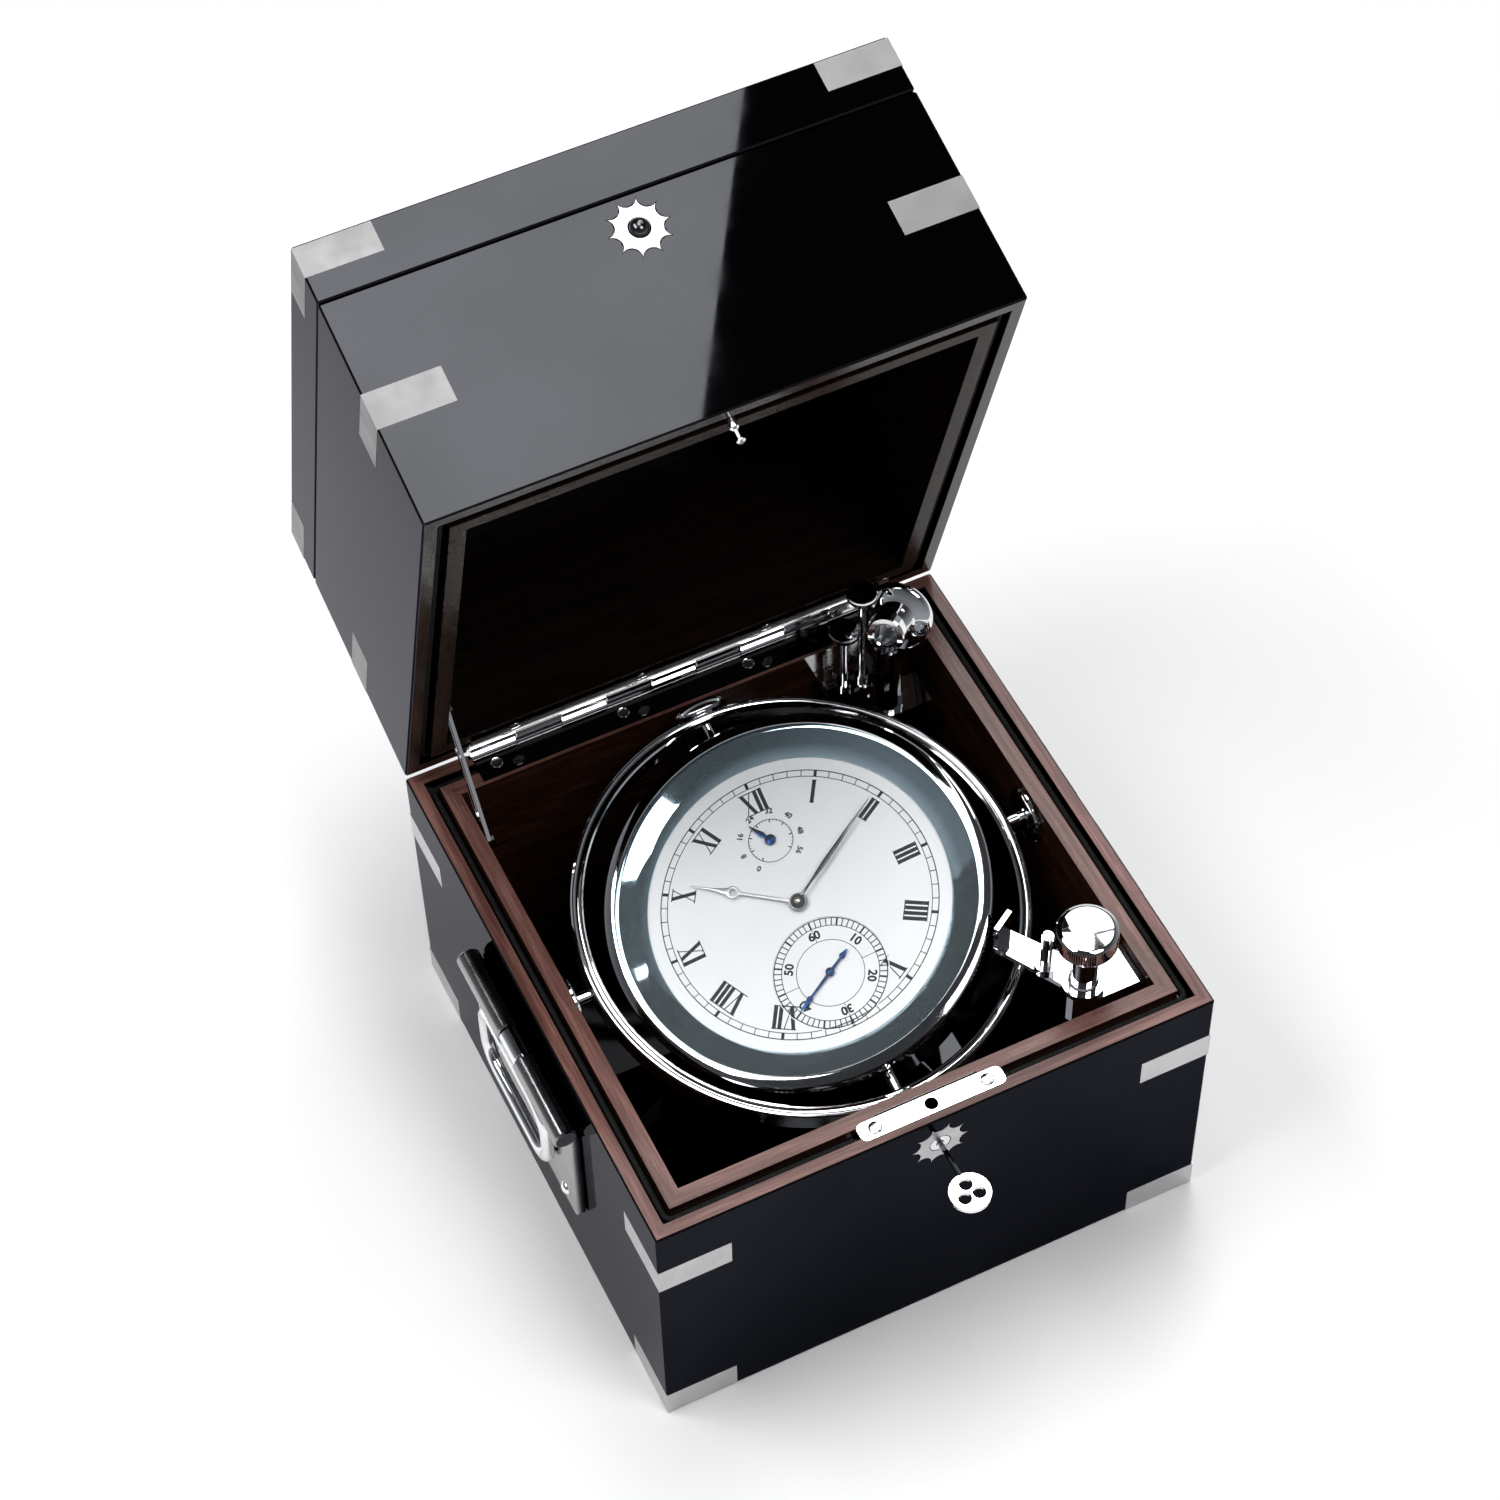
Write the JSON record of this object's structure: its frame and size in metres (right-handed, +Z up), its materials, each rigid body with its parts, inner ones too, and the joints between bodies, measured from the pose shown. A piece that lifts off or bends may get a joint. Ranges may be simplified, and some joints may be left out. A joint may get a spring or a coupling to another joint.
{
  "type": "marine chronometer",
  "caption": "Box chronometer: a gimballed clock with seconds and reserve subdials in a lacquered wooden box with an open hinged lid, key, handles and gimbal lock",
  "frame": {"origin": "middle of the underside of the box, on the table", "axes": "+Z up, the front with the lock faces -Y, the lid hinge is at +Y, +X is the right hand side"},
  "size_m": [0.2074, 0.3055, 0.3197],
  "materials": {
    "lacquer": "high gloss black piano lacquer over wood",
    "rosewood": "varnished rosewood",
    "chrome": "polished nickel chrome",
    "satin": "matte silver",
    "brass": "fine ground gilt brass",
    "enamel": "silvered white dial, printed numerals",
    "blued": "blued steel",
    "steel": "polished steel",
    "glass": "clear glass"
  },
  "bodies": {
    "case": {"base_case": "lacquer", "base_liner": "rosewood", "lock_case": "chrome", "lock_escutcheon": "satin", "hinge_leaf_base": "chrome", "hinge_pin": "chrome", "gimbal_pivot_left": "chrome", "gimbal_pivot_right": "chrome", "gimbal_lock_bracket": "chrome", "key_holder": "chrome", "screw_bracket": "chrome", "stay_pivot": "chrome", "handle_plate_left": "chrome", "handle_plate_right": "chrome"},
    "plug": {"lock_plug": "chrome"},
    "bolt": {"lock_bolt": "steel"},
    "key": {"case_key": "chrome"},
    "left_bail": {"bail_left": "chrome"},
    "right_bail": {"bail_right": "chrome"},
    "lock_arm": {"gimbal_lock_arm": "chrome"},
    "lock_knob": {"gimbal_lock_knob": "chrome"},
    "winder": {"winding_key": "chrome"},
    "low_thumb_screw": {"thumb_screw_low": "chrome"},
    "high_thumb_screw": {"thumb_screw_high": "chrome"},
    "lid": {"middle_case": "lacquer", "middle_liner": "rosewood", "middle_glass": "glass", "hinge_leaf_middle": "chrome", "button_escutcheon": "satin", "catch_pin": "chrome", "top_hinge_leaf_lower": "chrome"},
    "button": {"release_button": "chrome"},
    "stay": {"lid_stay": "chrome"},
    "top": {"top_lid": "lacquer", "top_hinge_leaf_upper": "chrome"},
    "ring": {"gimbal_ring": "chrome", "ring_pivot_front": "chrome", "ring_pivot_rear": "chrome"},
    "instrument": {"bowl": "brass", "bezel": "chrome", "crystal": "glass", "reflector_ring": "chrome", "dial": "enamel", "pillar_plate": "brass", "top_plate": "brass", "balance_cock": "brass"},
    "shutter": {"dust_shutter": "brass"},
    "hours": {"hour_hand": "steel"},
    "minutes": {"minute_hand": "steel", "centre_wheel": "brass"},
    "seconds": {"seconds_hand": "blued", "fourth_wheel": "brass"},
    "reserve": {"reserve_hand": "blued"},
    "third": {"third_wheel": "brass"},
    "escape": {"escape_wheel": "brass"},
    "fusee_cone": {"fusee": "brass"},
    "barrel": {"mainspring_barrel": "brass"},
    "balance_wheel": {"balance": "brass", "balance_spring": "steel"},
    "detent_spring": {"detent": "steel"}
  },
  "joints": [
    {"name": "lid_open", "type": "hinge", "parent": "case", "child": "lid", "pos_m": [0, 0.0956, 0.1109], "axis": [-1, 0, 0], "range_deg": [-73.8, 0]},
    {"name": "stay_turn", "type": "hinge", "parent": "case", "child": "stay", "pos_m": [-0.0807, 0.06409, 0.10534], "axis": [-1, 0, 0], "range_deg": [-36.9, 0]},
    {"name": "top_lid_open", "type": "hinge", "parent": "lid", "child": "top", "pos_m": [0, 0.1658, 0.13129], "axis": [-1, 0, 0], "range_deg": [0, 95]},
    {"name": "button_press", "type": "slide", "parent": "lid", "child": "button", "axis": [0, 0.279, -0.9603], "range_m": [0, 0.002], "stiffness_N_per_m": 300},
    {"name": "plug_turn", "type": "hinge", "parent": "case", "child": "plug", "pos_m": [0, -0.095, 0.0952], "axis": [0, 1, 0], "range_deg": [0, 90]},
    {"name": "bolt_slide", "type": "slide", "parent": "case", "child": "bolt", "axis": [1, 0, 0], "range_m": [0, 0.004]},
    {"name": "key_pull", "type": "slide", "parent": "plug", "child": "key", "axis": [0, -1, 0], "range_m": [0, 0.026]},
    {"name": "left_bail_lift", "type": "hinge", "parent": "case", "child": "left_bail", "pos_m": [-0.0997, 0, 0.086], "axis": [0, 1, 0], "range_deg": [0, 95]},
    {"name": "right_bail_lift", "type": "hinge", "parent": "case", "child": "right_bail", "pos_m": [0.0997, 0, 0.086], "axis": [0, -1, 0], "range_deg": [0, 95]},
    {"name": "lock_arm_swing", "type": "hinge", "parent": "case", "child": "lock_arm", "pos_m": [0.0635, -0.0685, 0.105], "axis": [0, 0, 1], "range_deg": [-55, 0]},
    {"name": "lock_knob_turn", "type": "hinge", "parent": "case", "child": "lock_knob", "pos_m": [0.0635, -0.0685, 0.12], "axis": [0, 0, 1], "range_deg": [0, 180]},
    {"name": "winder_lift", "type": "slide", "parent": "case", "child": "winder", "axis": [0.4272, -0.4213, 0.8], "range_m": [0, 0.06]},
    {"name": "low_thumb_screw_turn", "type": "hinge", "parent": "case", "child": "low_thumb_screw", "pos_m": [0.0514, 0.072, 0.11], "axis": [0, 0, 1], "range_deg": [0, 360]},
    {"name": "high_thumb_screw_turn", "type": "hinge", "parent": "case", "child": "high_thumb_screw", "pos_m": [0.0584, 0.0733, 0.12], "axis": [0, 0, 1], "range_deg": [0, 360]},
    {"name": "ring_swing", "type": "hinge", "parent": "case", "child": "ring", "pos_m": [0, 0, 0.0979], "axis": [1, 0, 0], "range_deg": [-12, 35]},
    {"name": "bowl_swing", "type": "hinge", "parent": "ring", "child": "instrument", "pos_m": [0, 0, 0.0979], "axis": [0, 0.9826, 0.1857], "range_deg": [-30, 196]},
    {"name": "shutter_turn", "type": "hinge", "parent": "instrument", "child": "shutter", "pos_m": [0.00711, 0.00506, 0.10094], "axis": [-0.2773, -0.1784, 0.9441], "range_deg": [0, 105]},
    {"name": "seconds_spin", "type": "hinge", "parent": "instrument", "child": "seconds", "pos_m": [-0.00136, -0.02475, 0.09283], "axis": [0.2773, 0.1784, -0.9441], "continuous": true},
    {"name": "third_spin", "type": "hinge", "parent": "instrument", "child": "third", "pos_m": [0.00958, -0.01438, 0.098], "axis": [0.2773, 0.1784, -0.9441], "continuous": true},
    {"name": "minute_spin", "type": "hinge", "parent": "instrument", "child": "minutes", "pos_m": [0, 0, 0.0979], "axis": [0.2773, 0.1784, -0.9441], "continuous": true},
    {"name": "hour_spin", "type": "hinge", "parent": "instrument", "child": "hours", "pos_m": [0, 0, 0.0979], "axis": [0.2773, 0.1784, -0.9441], "continuous": true},
    {"name": "escape_spin", "type": "hinge", "parent": "instrument", "child": "escape", "pos_m": [-0.01296, -0.02749, 0.0889], "axis": [0.2773, 0.1784, -0.9441], "continuous": true},
    {"name": "fusee_spin", "type": "hinge", "parent": "instrument", "child": "fusee_cone", "pos_m": [0.01403, 0.00998, 0.10391], "axis": [0.2773, 0.1784, -0.9441], "continuous": true},
    {"name": "barrel_spin", "type": "hinge", "parent": "instrument", "child": "barrel", "pos_m": [-0.01556, 0.0155, 0.09626], "axis": [0.2773, 0.1784, -0.9441], "continuous": true},
    {"name": "reserve_turn", "type": "hinge", "parent": "instrument", "child": "reserve", "pos_m": [0.00126, 0.02289, 0.10259], "axis": [0.2773, 0.1784, -0.9441], "range_deg": [-103, 167]},
    {"name": "balance_swing", "type": "hinge", "parent": "instrument", "child": "balance_wheel", "pos_m": [-0.01243, -0.0177, 0.0909], "axis": [0.2773, 0.1784, -0.9441], "range_deg": [-225, 225]},
    {"name": "detent_lift", "type": "hinge", "parent": "instrument", "child": "detent_spring", "pos_m": [-0.01712, -0.01743, 0.08958], "axis": [0.2773, 0.1784, -0.9441], "range_deg": [0, 3]}
  ],
  "couplings": [
    {"joint": "stay_turn", "follows": "lid_open", "ratio": 0.5},
    {"joint": "plug_turn", "follows": "bolt_slide", "rad_per_m": 392.7},
    {"joint": "third_spin", "follows": "seconds_spin", "ratio": -0.13333},
    {"joint": "minute_spin", "follows": "seconds_spin", "ratio": 0.016667},
    {"joint": "hour_spin", "follows": "seconds_spin", "ratio": 0.0013889},
    {"joint": "escape_spin", "follows": "seconds_spin", "ratio": -8},
    {"joint": "fusee_spin", "follows": "seconds_spin", "ratio": -0.002381},
    {"joint": "barrel_spin", "follows": "seconds_spin", "ratio": -0.0015714}
  ]
}
